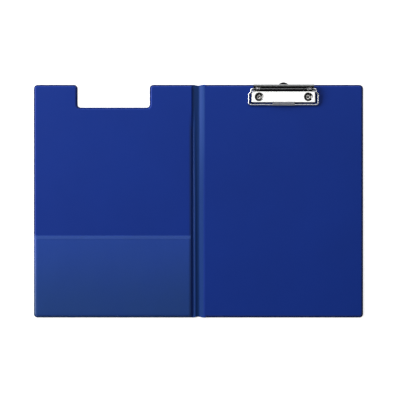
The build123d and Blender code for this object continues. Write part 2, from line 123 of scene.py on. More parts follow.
# %% One material
class Finish:
    """A material whose nodes are made one by one. If a tree is given, they are added to that."""

    def __init__(self, name, tree=None):
        if tree is None:
            self.material = bpy.data.materials.new(name)
            self.material.use_nodes = True
            tree = self.material.node_tree
            self.shader = tree.nodes["Principled BSDF"]
        self.tree = tree

    def add(self, kind, settings=None, sockets=None, output=0):
        node = self.tree.nodes.new("ShaderNode" + kind)
        for key, value in (settings or {}).items():
            if key == "stops":
                ramp = node.color_ramp
                while len(ramp.elements) < len(value):
                    ramp.elements.new(1)
                for element, (place, colour) in zip(ramp.elements, value):
                    element.position = place
                    element.color = (*colour, 1)
            else:
                setattr(node, key, value)
        for key, value in (sockets or {}).items():
            self.feed(node.inputs[key], value)
        return Signal(self.tree, node.outputs[output])

    def feed(self, socket, value):
        if isinstance(value, Signal):
            self.tree.links.new(value.socket, socket)
        elif isinstance(value, tuple) and socket.type == "RGBA":
            socket.default_value = (*value, 1)
        else:
            socket.default_value = value

    def place(self):
        """Object coordinates, in metres."""
        return self.add("TexCoord", output="Object")

    def axes(self):
        """The x, y and z of a point of the object."""
        node = self.add("SeparateXYZ", sockets={"Vector": self.place()}).socket.node
        return [Signal(self.tree, s) for s in node.outputs]

    def noise(self, scale, detail=2.0, stretch=(1, 1, 1)):
        spot = self.add("Mapping", sockets={"Vector": self.place(), "Scale": stretch})
        return self.add("TexNoise", sockets={"Vector": spot, "Scale": scale, "Detail": detail})

    def step(self, value, start, end):
        """A soft step from 0 at start to 1 at end, both in mm."""
        limits = {"Value": value, "From Min": start * MM, "From Max": end * MM}
        return self.add("MapRange", {"interpolation_type": "SMOOTHSTEP"}, limits)

    def band(self, value, a, b, c, d):
        """1 from b to c and 0 outside a and d, all in mm."""
        return self.step(value, a, b) * (1 - self.step(value, c, d))

    def blend(self, factor, first, second):
        """A colour between two colours."""
        node = self.add("Mix", {"data_type": "RGBA"}, output=2).socket.node
        for socket, value in zip((node.inputs[0], node.inputs[6], node.inputs[7]), (factor, first, second)):
            self.feed(socket, value)
        return Signal(self.tree, node.outputs[2])

    def bump(self, height, distance, strength=1.0):
        return self.add("Bump", sockets={"Height": height, "Distance": distance, "Strength": strength})

    def surface(self, **values):
        for name, value in values.items():
            self.feed(self.shader.inputs[name.replace("_", " ")], value)
        return self.material


print("material helpers are ready")

# %% [markdown]
# The folder's skin is calendered PVC: a soft sheet with a fine pressed grain, satin in gloss. The grain is
# a Voronoi pattern about half a millimetre across that only bends the normal. Slow noise makes the blue
# drift a little, as it does on a real sheet, and makes the gloss uneven where hands have touched it.
# A sheet can also have marks. Each is a function that gives a mask, and the blue that the sheet has there.

# %% Blue PVC
PVC_BLUE = (0.003, 0.0255, 0.218)
WELDED_BLUE = tuple(0.35 * c for c in PVC_BLUE)
GRAIN_CELLS = 1900.0
GRIT_CELLS = 5200.0
SAG = 0.15 * MM


def pvc(name, blue, gloss, grain, shine=0.2, marks=()):
    """A PVC sheet. grain is how deep its grain is, and marks are (mask function, blue) pairs."""
    finish = Finish(name)
    cells = finish.add(
        "TexVoronoi", {"feature": "SMOOTH_F1"},
        {"Vector": finish.place(), "Scale": GRAIN_CELLS, "Smoothness": 0.6},
    )
    grit = finish.noise(GRIT_CELLS, 2.0)
    drift = finish.noise(9.0, 3.0)
    sag = finish.noise(26.0, 1.0)
    wear = finish.noise(70.0, 4.0)
    shade = finish.blend(drift, tuple(0.9 * c for c in blue), tuple(1.1 * c for c in blue))
    for mask, marked in marks:
        shade = finish.blend(mask(finish), shade, marked)
    grained = finish.bump(cells * 0.8 + grit * 0.2, grain)
    wavy = finish.add(
        "Bump", sockets={"Height": sag, "Distance": SAG, "Strength": 0.6, "Normal": grained},
    )
    return finish.surface(
        Base_Color=shade, Roughness=gloss - 0.04 + wear * 0.08, Specular_IOR_Level=shine, Normal=wavy,
    )


welded_pvc = pvc("blue PVC pressed by the weld", WELDED_BLUE, 0.34, 0.004 * MM)
print("made", welded_pvc.name)

# %% [markdown]
# Shade is painted where the folder bends. The cover's sheet has a soft line of painted shade beside the
# spine, and the spine's loose sheet has painted shade in its crease, which is wider at the clip's end, where
# the spine is flattest. That sheet is a duller blue than the boards', has a painted sheen where it climbs to
# the back board near the clip, and is glossier, since nothing presses it flat. Each mask multiplies soft
# steps along x and y.

# %% Painted shade and sheen in the folds
# Painted shade beside the cover's fold.
FOLD_SHADE_BLUE = (0.0025, 0.012, 0.055)
LOOSE_BLUE = (0.003, 0.032, 0.175)
# Painted sheen where the spine sheet climbs to the back board.
CLIMB_SHEEN_BLUE = (0.015, 0.053, 0.245)
# Painted shade in the spine sheet's crease.
CREASE_SHADE_BLUE = (0.0, 0.018, 0.1)


# Mask of the painted shade beside the cover's fold.
def painted_fold_shade(finish):
    x, y, _ = finish.axes()
    return finish.band(x, -14.0, -10.4, -9.2, -8.4) * (1 - finish.step(y, 90, 130)) * 0.75


# Mask of the painted shade in the spine sheet's crease.
def painted_crease_shade(finish):
    x, y, _ = finish.axes()
    top = finish.step(y, 100, 128)
    low_crease = finish.band(x, -4.4, -3.2, 0.2, 1.7)
    top_crease = finish.band(x, -9.4, -8.6, -0.2, 1.4)
    return (low_crease * (1 - top) + top_crease * top) * (0.6 + finish.noise(70.0, 4.0) * 0.3)


def between_the_boards(finish):
    x, _, _ = finish.axes()
    return finish.band(x, -8.5, -7.5, 5.5, 8.5)


# Mask of the painted sheen where the spine sheet climbs to the back board near the clip.
def painted_climb_sheen(finish):
    x, y, _ = finish.axes()
    return finish.band(x, 0.8, 2.4, 7.4, 9.4) * finish.step(y, 0, 130)


blue_pvc = pvc("blue PVC sheet", PVC_BLUE, 0.52, 0.012 * MM, marks=[(painted_fold_shade, FOLD_SHADE_BLUE)])
loose_marks = [(between_the_boards, LOOSE_BLUE), (painted_climb_sheen, CLIMB_SHEEN_BLUE), (painted_crease_shade, CREASE_SHADE_BLUE)]
loose_pvc = pvc("blue PVC of the spine", PVC_BLUE, 0.44, 0.01 * MM, 0.27, loose_marks)
print("made", blue_pvc.name, "and", loose_pvc.name)

# %% [markdown]
# The weld shows on the outside too, as a glossy darker line round each panel, where the tool pressed the
# two sheets together. The outer sheets are flat there, so a mask draws it: close to an outer edge, or, on
# the cover, close to the clip's notch.

# %% Outer sheets with their weld line
WELD_LINE = 1.5
SOFT_EDGE = 0.2


def within(finish, value, low, high):
    """1 between low and high and 0 past a soft edge, in mm."""
    return finish.band(value, low - SOFT_EDGE, low, high, high + SOFT_EDGE)


def near_an_edge(finish):
    x, y, _ = finish.axes()
    out = OUTER_X / MM - WELD_LINE
    end = TOP_Y / MM - WELD_LINE
    return 1 - within(finish, x, -out, out) * within(finish, y, -end, end)


def near_edge_or_notch(finish):
    x, y, _ = finish.axes()
    left, right = NOTCH_LEFT / MM - WELD_LINE, NOTCH_RIGHT / MM + WELD_LINE
    floor_y = NOTCH_FLOOR / MM - WELD_LINE
    notch = within(finish, x, left, right) * finish.step(y, floor_y - SOFT_EDGE, floor_y)
    return near_an_edge(finish) + notch


outer_pvc = pvc("blue PVC outside", PVC_BLUE, 0.52, 0.012 * MM, marks=[(near_an_edge, WELDED_BLUE)])
outer_cover_pvc = pvc("blue PVC outside the cover", PVC_BLUE, 0.52, 0.012 * MM,
                      marks=[(near_edge_or_notch, WELDED_BLUE)])
print("made", outer_pvc.name, "and", outer_cover_pvc.name)

# %% [markdown]
# The boards inside are greyboard, pressed from waste paper: grey-brown, matt and flecked with fibres. They
# are nearly hidden, but a carried-over solid still gets its finish.

# %% Greyboard
def colour(code):
    """Linear colour of an sRGB hex code."""
    parts = [int(code[k:k + 2], 16) / 255 for k in (0, 2, 4)]
    return tuple(p / 12.92 if p <= 0.04045 else ((p + 0.055) / 1.055) ** 2.4 for p in parts)


def make_greyboard():
    finish = Finish("greyboard")
    fleck = finish.noise(900.0, 6.0, (1, 0.35, 1))
    cloud = finish.noise(60.0, 3.0)
    paper = finish.blend(fleck, colour("8d877c"), colour("aaa498"))
    tint = finish.blend(cloud * 0.3, paper, colour("7c766c"))
    return finish.surface(
        Base_Color=tint, Roughness=0.9, Specular_IOR_Level=0.2, Normal=finish.bump(fleck, 0.05 * MM),
    )


greyboard = make_greyboard()
print("made", greyboard.name)

# %% [markdown]
# The pocket is a thin clear film. Clear PVC is never quite clear: it scatters a little light, so the blue
# under it looks paler. A low alpha with a pale blue colour gives that haze, and a long slow bump makes
# the soft streaks that a loose film shows. Its tint grows bluer towards its mouth, and down its left side
# the film is made more opaque, a painted sheen along the weld. The folded hem is two layers, so it is paler.

# %% Clear film
def clear_film(name, haze, tint_low, tint_high):
    finish = Finish(name)
    streaks = finish.noise(16.0, 2.0, (1.4, 0.5, 1))
    scuffs = finish.noise(420.0, 3.0, (1, 0.2, 1))
    ripple = finish.bump(streaks, 0.6 * MM, 0.5)
    x, y, _ = finish.axes()
    towards_mouth = finish.step(y, -160, -40)
    # A more opaque line down the left side: a painted sheen along the weld.
    weld = 1 - finish.step(x, -223.2, -222.2)
    return finish.surface(
        Base_Color=finish.blend(towards_mouth, tint_low, tint_high),
        Roughness=0.2 + scuffs * 0.12,
        Alpha=haze - 0.03 + streaks * 0.06 + weld * 0.12,
        Specular_IOR_Level=0.25,
        Normal=ripple,
    )


film = clear_film("clear pocket film", 0.12, (0.05, 0.135, 0.25), (0.065, 0.165, 0.61))
hem_film = clear_film("folded film at the pocket's mouth", 0.15, (0.06, 0.15, 0.55), (0.08, 0.17, 0.58))
print("made", film.name, "and", hem_film.name)

# %% [markdown]
# A rivet sits in a dish. The finish paints the dish's right side bright, a painted reflection of the light
# that comes from the left, and the rest of the dish nearly black, a painted shade, so that neither hangs on
# one lamp's place. This mask is the wedge of painted highlight that opens to the right of each rivet.

# %% Painted highlight on the rivet seats
def painted_seat_glint(finish):
    x, y, _ = finish.axes()
    off_axis = finish.add("Math", {"operation": "ABSOLUTE"}, {0: y - RIVET_Y})
    glint = 0
    for rivet_x in RIVETS_X:
        right = x - rivet_x
        glint = finish.step(right * 0.6 - off_axis, 0, 0.8) * finish.band(right, 2.8, 3.6, 5.2, 5.7) + glint
    return glint


print("bright sides for the seats of", len(RIVETS_X), "rivets")

# %% [markdown]
# The clip is mild steel with bright nickel plating. Plating is a mirror with fine drawing marks along the
# strip. Low down in the folds and dishes its colour is painted dark: painted shade. At the back, round the
# rod in the trough, it is painted darker too: painted shade. Both are drawn with soft steps.

# %% One metal
EAR_STEP = (41, 42.5)


def metal(name, bright, painted_shade, rough, marks, low=(6.1, 6.6), back=None, painted_trough_shade=None, glint=None):
    """A metal whose colour below the low step is painted dark, a painted shade. marks stretch its drawing
    marks.

    Behind the back step, between the ears, its colour is painted darker, a painted shade. glint gives the
    mask of a painted highlight.
    """
    finish = Finish(name)
    drawn = finish.noise(1500.0, 4.0, marks)
    clouds = finish.noise(240.0, 3.0)
    x, y, z = finish.axes()
    # Behind the back step, between the ears, the colour is painted shade in the trough.
    if back:
        aside = finish.add("Math", {"operation": "ABSOLUTE"}, {0: x - CLIP_X})
        bright = finish.blend(finish.step(y, *back) * (1 - finish.step(aside, *EAR_STEP)), bright, painted_trough_shade)
    # Below the low step the colour is painted shade.
    unshaded = finish.step(z, *low)
    painted_glint_mask = 0
    # The glint mask is a painted highlight: there the colour stays bright and the metal a little rougher.
    if glint:
        painted_glint_mask = glint(finish) * (1 - unshaded)
        unshaded = unshaded + painted_glint_mask
    shine = finish.blend(unshaded, painted_shade, bright)
    mottled = finish.blend(clouds * 0.3, shine, tuple(0.8 * c for c in painted_shade))
    return finish.surface(
        Base_Color=mottled,
        Metallic=1.0,
        Roughness=rough + drawn * 0.06 + (1 - unshaded) * 0.1 + painted_glint_mask * 0.25,
        Normal=finish.bump(drawn, 0.004 * MM, 0.6),
    )


print("the metal recipe is ready")

# %% [markdown]
# Six metals come from that one recipe. The plating differs from piece to piece in brightness and gloss, the
# springs are bare drawn steel, and the hanger is blackened.

# %% Metals of the clip
# Each metal's colour below its low step is painted shade. Behind the back step the darker colour is painted
# shade in the trough, and the nickel's seats get a painted highlight.
nickel = metal("bright nickel plating", (0.97, 0.97, 0.96), (0.012, 0.012, 0.014), 0.12, (0.06, 1, 1),
               back=(149.9, 150.6), painted_trough_shade=(0.3, 0.31, 0.31), glint=painted_seat_glint)
wire_steel = metal("plated wire", (0.82, 0.84, 0.88), (0.36, 0.38, 0.42), 0.2, (1, 1, 1),
                   low=(3.2, 5.8), back=(149.4, 151.4), painted_trough_shade=(0.1, 0.105, 0.11))
grip_steel = metal("plated grip", (0.86, 0.87, 0.88), (0.2, 0.2, 0.21), 0.16, (1, 1, 1), low=(4.0, 5.7))
rivet_steel = metal("plated rivet", (0.95, 0.93, 0.9), (0.03, 0.03, 0.035), 0.24, (1, 1, 1), low=(3.8, 4.4))
spring_steel = metal("spring steel", (0.42, 0.42, 0.43), (0.2, 0.2, 0.21), 0.26, (1, 1, 1))
black_steel = metal("blackened steel", (0.035, 0.035, 0.038), (0.02, 0.02, 0.022), 0.34, (1, 0.1, 1))
print("made", [m.name for m in (nickel, wire_steel, grip_steel, rivet_steel, spring_steel, black_steel)])

# %% [markdown]
# Modelling by hand means picking what an operator acts on. These helpers choose a piece, start one from a
# plane, and pick its vertices, edges or faces by a test on their middle.

# %% Helpers for picking
def clear_selection():
    if bpy.context.object and bpy.context.object.mode != "OBJECT":
        bpy.ops.object.mode_set(mode="OBJECT")
    bpy.ops.object.select_all(action="DESELECT")


def work_on(piece):
    """Selects one piece alone and makes it the active one."""
    clear_selection()
    piece.select_set(True)
    bpy.context.view_layer.objects.active = piece


def start_plane(name, low, high):
    """A flat rectangle between two corners, in edit mode."""
    clear_selection()
    middle = (Vector(low) + Vector(high)) / 2
    bpy.ops.mesh.primitive_plane_add(size=1, location=middle)
    piece = bpy.context.object
    piece.name = name
    piece.scale = (high[0] - low[0], high[1] - low[1], 1)
    bpy.ops.object.transform_apply(location=True, rotation=True, scale=True)
    bpy.ops.object.mode_set(mode="EDIT")
    bpy.ops.mesh.select_all(action="SELECT")
    return piece


def middle_of(item):
    if isinstance(item, bmesh.types.BMVert):
        return item.co
    if isinstance(item, bmesh.types.BMEdge):
        return (item.verts[0].co + item.verts[1].co) / 2
    return item.calc_center_median()


def pick(kind, test):
    """Selects the VERT, EDGE or FACE items whose middle passes the test."""
    bpy.ops.mesh.select_mode(type=kind)
    bpy.ops.mesh.select_all(action="DESELECT")
    piece = bpy.context.object
    mesh = bmesh.from_edit_mesh(piece.data)
    items = {"VERT": mesh.verts, "EDGE": mesh.edges, "FACE": mesh.faces}[kind]
    for item in [item for item in items if test(middle_of(item), item)]:
        item.select_set(True)
    mesh.select_flush_mode()
    bmesh.update_edit_mesh(piece.data)


def cut(spot, direction, drop_outside=False):
    """Cuts the whole piece by a plane."""
    bpy.ops.mesh.select_all(action="SELECT")
    bpy.ops.mesh.bisect(plane_co=spot, plane_no=direction, clear_outer=drop_outside)


def near(a, b, slack=0.02 * MM):
    return abs(a - b) < slack


print("picking helpers are ready")

# %% [markdown]
# The next helpers copy a piece, part it, apply a modifier to it and finish it. A finished piece has its
# place in its mesh, so that its object sits at the origin as the frame's own objects do.

# %% Helpers for pieces
def own_copy(thing, name):
    """A copy with its own mesh, selected and active."""
    copy = thing.copy()
    copy.data = thing.data.copy()
    copy.name = name
    copy.parent = None
    bpy.context.collection.objects.link(copy)
    work_on(copy)
    return copy


def part_off(piece, name, test):
    """Makes the faces that pass the test a piece of their own."""
    work_on(piece)
    bpy.ops.object.mode_set(mode="EDIT")
    pick("FACE", test)
    bpy.ops.mesh.separate(type="SELECTED")
    bpy.ops.object.mode_set(mode="OBJECT")
    parted = next(item for item in bpy.context.selected_objects if item != piece)
    parted.name = name
    return parted


def modifier(piece, kind, **settings):
    """Adds a modifier, sets it and applies it."""
    work_on(piece)
    item = piece.modifiers.new(kind, kind)
    for key, value in settings.items():
        setattr(item, key, value)
    bpy.ops.object.modifier_apply(modifier=item.name)


def finish_piece(piece, body, replaced, materials, angle=30):
    """Out of edit mode, smooth, with its finish, and riding on its body."""
    work_on(piece)
    bpy.ops.object.transform_apply(location=True, rotation=True, scale=True)
    bpy.ops.object.shade_smooth_by_angle(angle=radians(angle))
    for material in materials:
        if material.name not in piece.data.materials:
            piece.data.materials.append(material)
    if body:
        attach(piece, body)
    if replaced:
        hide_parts(*replaced)
    print(piece.name, "has", len(piece.data.polygons), "faces")


print("piece helpers are ready")

# %% [markdown]
# A panel's inner sheet is welded flat round its edge and drawn up over the board, so it is a shallow
# pillow. It starts as one rectangle. The cover's has the clip's notch cut out of it. Corners are rounded by
# bevelling their vertices, and so is the hole for a rivet's shank, which starts as a small square.

# %% Outline of a panel
SHANK_HOLE = 2.1 * MM


def cut_notch():
    """Cuts the clip's notch out of the cover's rectangle and joins the rest into one face."""
    for x in (NOTCH_LEFT, NOTCH_RIGHT):
        cut((x, 0, 0), (1, 0, 0))
    cut((0, NOTCH_FLOOR, 0), (0, 1, 0))
    pick("FACE", lambda m, _: NOTCH_LEFT < m.x < NOTCH_RIGHT and m.y > NOTCH_FLOOR)
    bpy.ops.mesh.delete(type="FACE")
    bpy.ops.mesh.select_all(action="SELECT")
    bpy.ops.mesh.dissolve_limited(angle_limit=radians(1))


def round_corners(test, radius):
    pick("VERT", lambda m, _: test(m))
    bpy.ops.mesh.bevel(offset=radius, segments=7, affect="VERTICES", profile=0.5)


def rivet_hole(x):
    """Cuts the hole for a rivet's shank: a small square whose corners are then rounded."""
    for shift in (-SHANK_HOLE, SHANK_HOLE):
        cut((x + shift, 0, 0), (1, 0, 0))
        cut((0, RIVET_Y + shift, 0), (0, 1, 0))
    pick("FACE", lambda m, _: hypot(m.x - x, m.y - RIVET_Y) < 0.5 * MM)
    bpy.ops.mesh.delete(type="FACE")
    round_corners(lambda m: near(abs(m.x - x), SHANK_HOLE) and near(abs(m.y - RIVET_Y), SHANK_HOLE),
                  0.98 * SHANK_HOLE)


print("outline helpers are ready")

# %% [markdown]
# Two insets make the welded margin and the slope up to the deck, and a small bevel softens both bends. On
# the fold side the margin nearly closes and the slope is longer. Only then does Solidify give the sheet its
# thickness, downwards, a hair less than the solid has, so that it stays clear of the board.

# %% Panel sheets
MARGIN = 1.5 * MM
SLOPE = 1.2 * MM
FOLD_SLOPE = 1.8 * MM
FOLD_MARGIN = 0.05 * MM
SOFT_BEND = 0.45 * MM
NOTCH_RADIUS = 4 * MM


def pillow(margin, slope, rise):
    """Insets the single face into a flat margin and a slope that rises to a deck."""
    bpy.ops.mesh.select_mode(type="FACE")
    bpy.ops.mesh.select_all(action="SELECT")
    bpy.ops.mesh.inset(thickness=margin, depth=0)
    bpy.ops.mesh.inset(thickness=slope, depth=rise)


def narrow_fold_side(side, edge, margin, slope, fold_slope):
    """Moves the foot and the crest of the slope on the fold side."""
    foot = edge + side * margin
    crest = edge + side * (margin + slope)
    for place, shift in ((foot, FOLD_MARGIN - margin), (crest, fold_slope - margin - slope)):
        pick("VERT", lambda m, _: near(m.x, place))
        bpy.ops.transform.translate(value=(side * shift, 0, 0))


def panel_sheet(name, side, body, replaced):
    edge = side * SKIN_EDGE_X
    far = side * OUTER_X
    x0, x1 = sorted((edge, far))
    piece = start_plane(name, (x0, -TOP_Y, WELD_TOP), (x1, TOP_Y, WELD_TOP))
    if side < 0:
        cut_notch()
        round_corners(lambda m: near(m.y, NOTCH_FLOOR), NOTCH_RADIUS)
        round_corners(lambda m: near(m.y, TOP_Y) and (near(m.x, NOTCH_LEFT) or near(m.x, NOTCH_RIGHT)),
                      CORNER_RADIUS)
    round_corners(lambda m: near(m.x, far) and near(abs(m.y), TOP_Y), CORNER_RADIUS)
    pillow(MARGIN, SLOPE, DECK - WELD_TOP)
    narrow_fold_side(side, edge, MARGIN, SLOPE, FOLD_SLOPE)
    pick("EDGE", lambda m, e: e.is_manifold and e.calc_face_angle(0) > radians(25))
    bpy.ops.mesh.bevel(offset=SOFT_BEND, segments=3, profile=0.5)
    for x in RIVETS_X if side > 0 else ():
        rivet_hole(x)
    piece.data.materials.append(blue_pvc)
    piece.data.materials.append(welded_pvc)
    pick("FACE", lambda m, _: m.z < WELD_TOP + 0.1 * MM)
    piece.active_material_index = 1
    bpy.ops.object.material_slot_assign()
    bpy.ops.mesh.select_all(action="SELECT")
    bpy.ops.mesh.normals_make_consistent(inside=False)
    bpy.ops.object.mode_set(mode="OBJECT")
    modifier(piece, "SOLIDIFY", thickness=SKIN * 0.95, offset=-1)
    finish_piece(piece, body, replaced, (blue_pvc, welded_pvc))
    modifier(piece, "WEIGHTED_NORMAL", keep_sharp=True)


panel_sheet("back_inner_sheet", 1, "back_panel", ["back_inner_skin"])
panel_sheet("cover_inner_sheet", -1, "cover", ["cover_inner_skin"])

# %% [markdown]
# The next pieces start from a line. Its first point is a plane whose corners are merged, and extruding
# that vertex from place to place draws the rest. Several such lines, joined and bridged, make a sheet.

# %% Helpers for lines
def start_point(name, place):
    """One vertex, in edit mode."""
    piece = start_plane(name, (-MM, -MM, 0), (MM, MM, 0))
    bpy.ops.mesh.merge(type="CENTER")
    bpy.ops.mesh.select_mode(type="VERT")
    bpy.ops.mesh.select_all(action="SELECT")
    bpy.ops.transform.translate(value=place)
    return piece


def extrude_along(points):
    """Extrudes the picked vertex through the points, one after another."""
    for here, there in zip(points, points[1:]):
        bpy.ops.mesh.extrude_region_move(TRANSFORM_OT_translate={"value": Vector(there) - Vector(here)})


def loft(name, lines):
    """A sheet through several lines that have the same number of points."""
    drawn = []
    for points in lines:
        drawn.append(start_point(name, points[0]))
        extrude_along(points)
    clear_selection()
    for line in drawn:
        line.select_set(True)
    bpy.context.view_layer.objects.active = drawn[0]
    bpy.ops.object.join()
    bpy.ops.object.mode_set(mode="EDIT")
    bpy.ops.mesh.select_mode(type="EDGE")
    bpy.ops.mesh.select_all(action="SELECT")
    bpy.ops.mesh.bridge_edge_loops()
    bpy.ops.mesh.select_all(action="SELECT")
    bpy.ops.mesh.normals_make_consistent(inside=False)
    bpy.ops.object.mode_set(mode="OBJECT")
    return drawn[0]


print("line helpers are ready")

# %% [markdown]
# Between the boards the PVC is loose. It stands up in a soft ridge beside the cover, sinks to a crease
# right of the middle and climbs again to the back board. The ridge fades out towards the clip's end. So
# the sheet is drawn as lines across the folder, of four shapes, and smoothed with Subdivision Surface.

# %% Lines across the spine
BOTTOM_LINE = [
    (-9.0, 1.9), (-8.4, 1.2), (-7.9, 0.85), (-7.2, 0.92), (-6.3, 1.15), (-5.4, 1.48), (-4.6, 1.66),
    (-3.9, 1.6), (-3.1, 1.34), (-2.1, 1.02), (-1.0, 0.78), (0.2, 0.68), (1.4, 0.74), (3.2, 1.22),
    (5.6, 1.9), (8.2, 2.6), (9.0, 2.71), (9.8, 2.71),
]
MIDDLE_LINE = [
    (-9.0, 1.9), (-8.4, 1.2), (-7.9, 0.85), (-7.3, 0.95), (-6.6, 1.22), (-5.8, 1.56), (-5.2, 1.74),
    (-4.6, 1.74), (-3.8, 1.48), (-2.8, 1.12), (-1.7, 0.8), (-0.6, 0.68), (0.7, 0.74), (2.6, 1.22),
    (5.0, 1.9), (7.8, 2.58), (8.8, 2.71), (9.8, 2.71),
]
UPPER_LINE = [
    (-9.0, 1.9), (-8.4, 1.2), (-7.9, 0.85), (-7.5, 0.97), (-6.9, 1.25), (-6.3, 1.52), (-5.7, 1.62),
    (-5.1, 1.5), (-4.2, 1.14), (-3.0, 0.85), (-1.8, 0.7), (-0.6, 0.68), (0.7, 0.78), (2.6, 1.35),
    (5.0, 2.05), (7.6, 2.6), (8.8, 2.71), (9.8, 2.71),
]
TOP_LINE = [
    (-9.0, 1.9), (-8.4, 1.4), (-7.9, 1.2), (-7.2, 1.1), (-6.3, 1.04), (-5.4, 1.0), (-4.6, 0.95),
    (-3.8, 0.9), (-3.0, 0.84), (-2.1, 0.78), (-1.2, 0.72), (-0.2, 0.68), (0.8, 0.8), (2.6, 1.4),
    (5.0, 2.15), (7.4, 2.64), (8.8, 2.71), (9.8, 2.71),
]
SPINE_EDGE = 5.3 * MM
SPINE_LINES = [
    (-159, BOTTOM_LINE), (-120, BOTTOM_LINE), (-60, MIDDLE_LINE), (10, MIDDLE_LINE),
    (70, UPPER_LINE), (105, UPPER_LINE), (132, TOP_LINE), (159, TOP_LINE),
]


def placed(y, heights):
    """A line's points in metres. Between the boards the two end lines are drawn in by a millimetre."""
    at_end = abs(y) * MM >= TOP_Y
    points = []
    for x, z in heights:
        dip = max(0, 1 - ((x + 0.6) * MM / SPINE_EDGE) ** 2) if at_end else 0
        points.append((x * MM, (y - dip if y > 0 else y + dip) * MM, z * MM))
    return points


loose_sheet = loft("spine_sheet", [placed(y, heights) for y, heights in SPINE_LINES])
modifier(loose_sheet, "SUBSURF", levels=2, render_levels=2, boundary_smooth="PRESERVE_CORNERS")
print("the loose sheet has", len(loose_sheet.data.polygons), "faces")

# %% [markdown]
# That sheet is one, but on the folder it moves as three: the middle rides on the spine, and each side, over a
# weld line, follows the spine on one side and a board on the other. So it is cut at both weld lines and
# parted into three pieces, and the middle is put on the spine.

# %% Spine sheet and the two fold lines
bpy.ops.object.mode_set(mode="EDIT")
for x in (-SPINE_EDGE, SPINE_EDGE):
    cut((x, 0, 0), (1, 0, 0))
bpy.ops.object.mode_set(mode="OBJECT")
board_fold_line = part_off(loose_sheet, "board_fold_line", lambda m, _: m.x > SPINE_EDGE)
cover_fold_line = part_off(loose_sheet, "cover_fold_line", lambda m, _: m.x < -SPINE_EDGE)

for piece in (loose_sheet, board_fold_line, cover_fold_line):
    modifier(piece, "SOLIDIFY", thickness=SKIN * 0.9, offset=-1)
finish_piece(loose_sheet, "spine", ["spine_inner_skin"], (loose_pvc,), 60)
for piece, node, board_body, side in (
    (board_fold_line, "board_fold_web", "back_panel", 1),
    (cover_fold_line, "cover_fold_web", "cover", -1),
):
    finish_piece(piece, None, [node], (loose_pvc,), 60)
    side * SPINE_EDGE
    side * SKIN_EDGE_X
    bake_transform(piece)

# %% [markdown]
# The pocket's film is welded to the cover along three sides and open at the top. It is the same shallow
# pillow as the sheet, a little higher, so it lies on it with air between. It is made longer than it has to
# be and cut off at its mouth, which leaves that side without a slope. Cuts across it give it points, and
# proportional moves lift it here and there, because a loose film never lies quite flat.

# %% Pocket film
MOUTH = -47 * MM
FILM_FOOT = 0.92 * MM
FILM_TOP = 3.2 * MM
FILM_MARGIN, FILM_SLOPE = 0.9 * MM, 1.4 * MM
POCKET_LEFT, POCKET_RIGHT = -224.6 * MM, -8.3 * MM
POCKET_FLOOR = -158.6 * MM
SPARE = 8 * MM
COLUMNS, ROWS = 40, 20
# Where the film lifts, in mm: x, y, how much, and how far around
LIFTS = [(-186, -92, 0.3, 36), (-122, -70, 0.45, 44), (-62, -96, 0.3, 44), (-100, -122, 0.25, 30),
         (-160, -126, 0.2, 26), (-36, -66, 0.25, 24), (-202, -58, 0.25, 18)]


def lift(x, y, height, reach):
    """Lifts the vertex that is nearest to a place, and its surroundings less and less."""
    spot = Vector((x * MM, y * MM))
    mesh = bmesh.from_edit_mesh(bpy.context.object.data)
    nearest = min(mesh.verts, key=lambda v: (v.co.xy - spot).length).co.copy()
    pick("VERT", lambda m, _: (m - nearest).length < 0.001 * MM)
    bpy.ops.transform.translate(
        value=(0, 0, height * MM), use_proportional_edit=True,
        proportional_edit_falloff="SMOOTH", proportional_size=reach * MM,
    )


pocket = start_plane("pocket_film", (POCKET_LEFT, POCKET_FLOOR, FILM_FOOT),
                     (POCKET_RIGHT, MOUTH + SPARE, FILM_FOOT))
round_corners(lambda m: near(m.x, POCKET_LEFT) and near(m.y, POCKET_FLOOR), CORNER_RADIUS)
pillow(FILM_MARGIN, FILM_SLOPE, FILM_TOP - FILM_FOOT)
for k in range(1, COLUMNS):
    cut((POCKET_LEFT + (POCKET_RIGHT - POCKET_LEFT) * k / COLUMNS, 0, 0), (1, 0, 0))
for k in range(1, ROWS):
    cut((0, POCKET_FLOOR + (MOUTH - POCKET_FLOOR) * k / ROWS, 0), (0, 1, 0))
cut((0, MOUTH, 0), (0, 1, 0), drop_outside=True)
for place in LIFTS:
    lift(*place)
print("the film has", len(LIFTS), "soft lifts")

# %% [markdown]
# At the mouth the film is folded back over itself. So the hem is a copy of the film's last few
# millimetres, parted from it and raised by a hair, and each gets its thickness after that.

# %% Hem of the pocket
HEM_WIDTH = 4.6 * MM
HEM_GAP = 0.02 * MM
FILM = 0.16 * MM
FOLDED_FILM = 0.2 * MM
cut((0, MOUTH - HEM_WIDTH, 0), (0, 1, 0))
pick("FACE", lambda m, _: m.y > MOUTH - HEM_WIDTH and m.z > FILM_TOP - 0.1 * MM)
bpy.ops.mesh.duplicate()
bpy.ops.transform.translate(value=(0, 0, HEM_GAP))
bpy.ops.mesh.separate(type="SELECTED")
bpy.ops.object.mode_set(mode="OBJECT")
hem = next(item for item in bpy.context.selected_objects if item != pocket)
hem.name = "pocket_hem"
modifier(pocket, "SOLIDIFY", thickness=FILM, offset=-1)
finish_piece(pocket, "cover", ["clear_pocket"], (film,), 60)
modifier(hem, "SOLIDIFY", thickness=FOLDED_FILM, offset=1)
finish_piece(hem, "cover", None, (hem_film,), 60)

# %% [markdown]
# The clip's base, the finger grip and the hanger are pressed from sheet, and their measured solids are
# right. What they lack is the tiny round that every pressed edge has, which is what catches the light.
# A copy is merged, because the frame's meshes are loose triangles, and a fine bevel goes on its edges.

